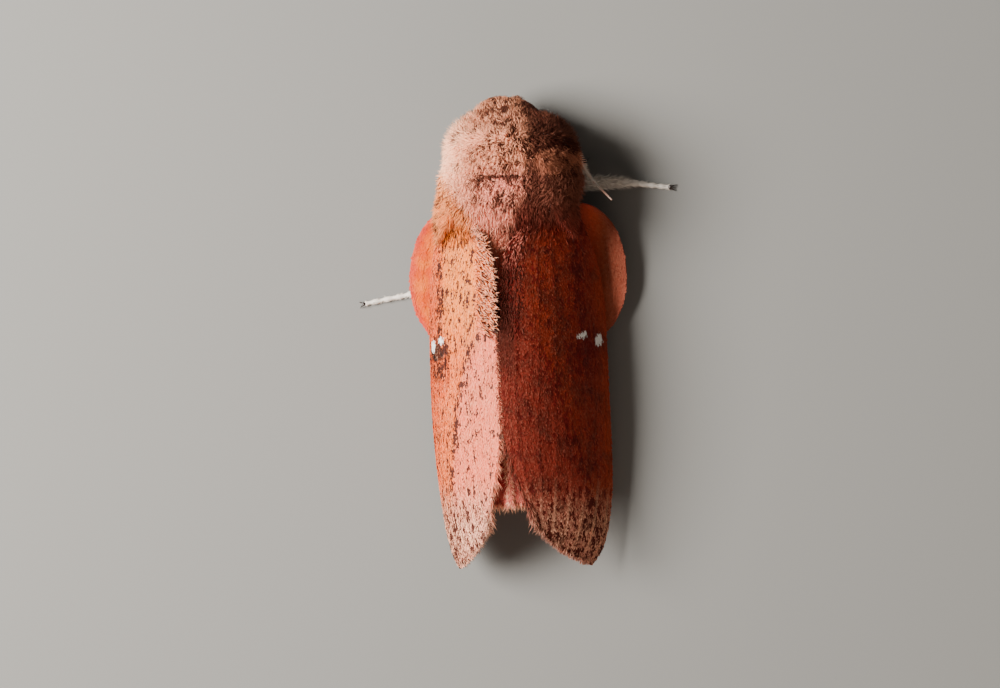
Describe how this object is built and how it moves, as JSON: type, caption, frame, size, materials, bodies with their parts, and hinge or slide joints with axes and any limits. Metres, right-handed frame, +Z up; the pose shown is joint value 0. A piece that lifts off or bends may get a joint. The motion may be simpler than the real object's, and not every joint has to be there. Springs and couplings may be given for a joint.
{
  "type": "honey locust moth",
  "caption": "Still model of a moth at rest, forewings folded like a roof with hindwing lobes at the sides, furry head and thorax, feathered antennae and spread legs.",
  "frame": {"origin": "on the floor, at the centre of the bounding box's bottom face", "axes": "+Z up, +Y towards the head, +X towards the moth's right; left and right are the moth's own"},
  "size_m": [0.0238, 0.0338, 0.0094],
  "materials": {
    "coat": "dusty rose and rust-brown hair scales",
    "forewing": "matt orange and brick-red scales with dark specks and two white spots",
    "hindwing": "matt salmon-pink scales",
    "limb": "pale pinkish hair over horn, with dark claws",
    "eye": "glossy near-black compound eye"
  },
  "bodies": {
    "root": {"head": "coat", "collar": "coat", "thorax": "coat", "abdomen": "coat", "tegula_left": "coat", "tegula_right": "coat", "forewing_left": "forewing", "forewing_right": "forewing", "hindwing_left": "hindwing", "hindwing_right": "hindwing", "antenna_left": "limb", "antenna_right": "limb", "foreleg_left": "limb", "foreleg_right": "limb", "midleg_left": "limb", "midleg_right": "limb", "hindleg_left": "limb", "hindleg_right": "limb", "eye_left": "eye", "eye_right": "eye"}
  },
  "joints": []
}
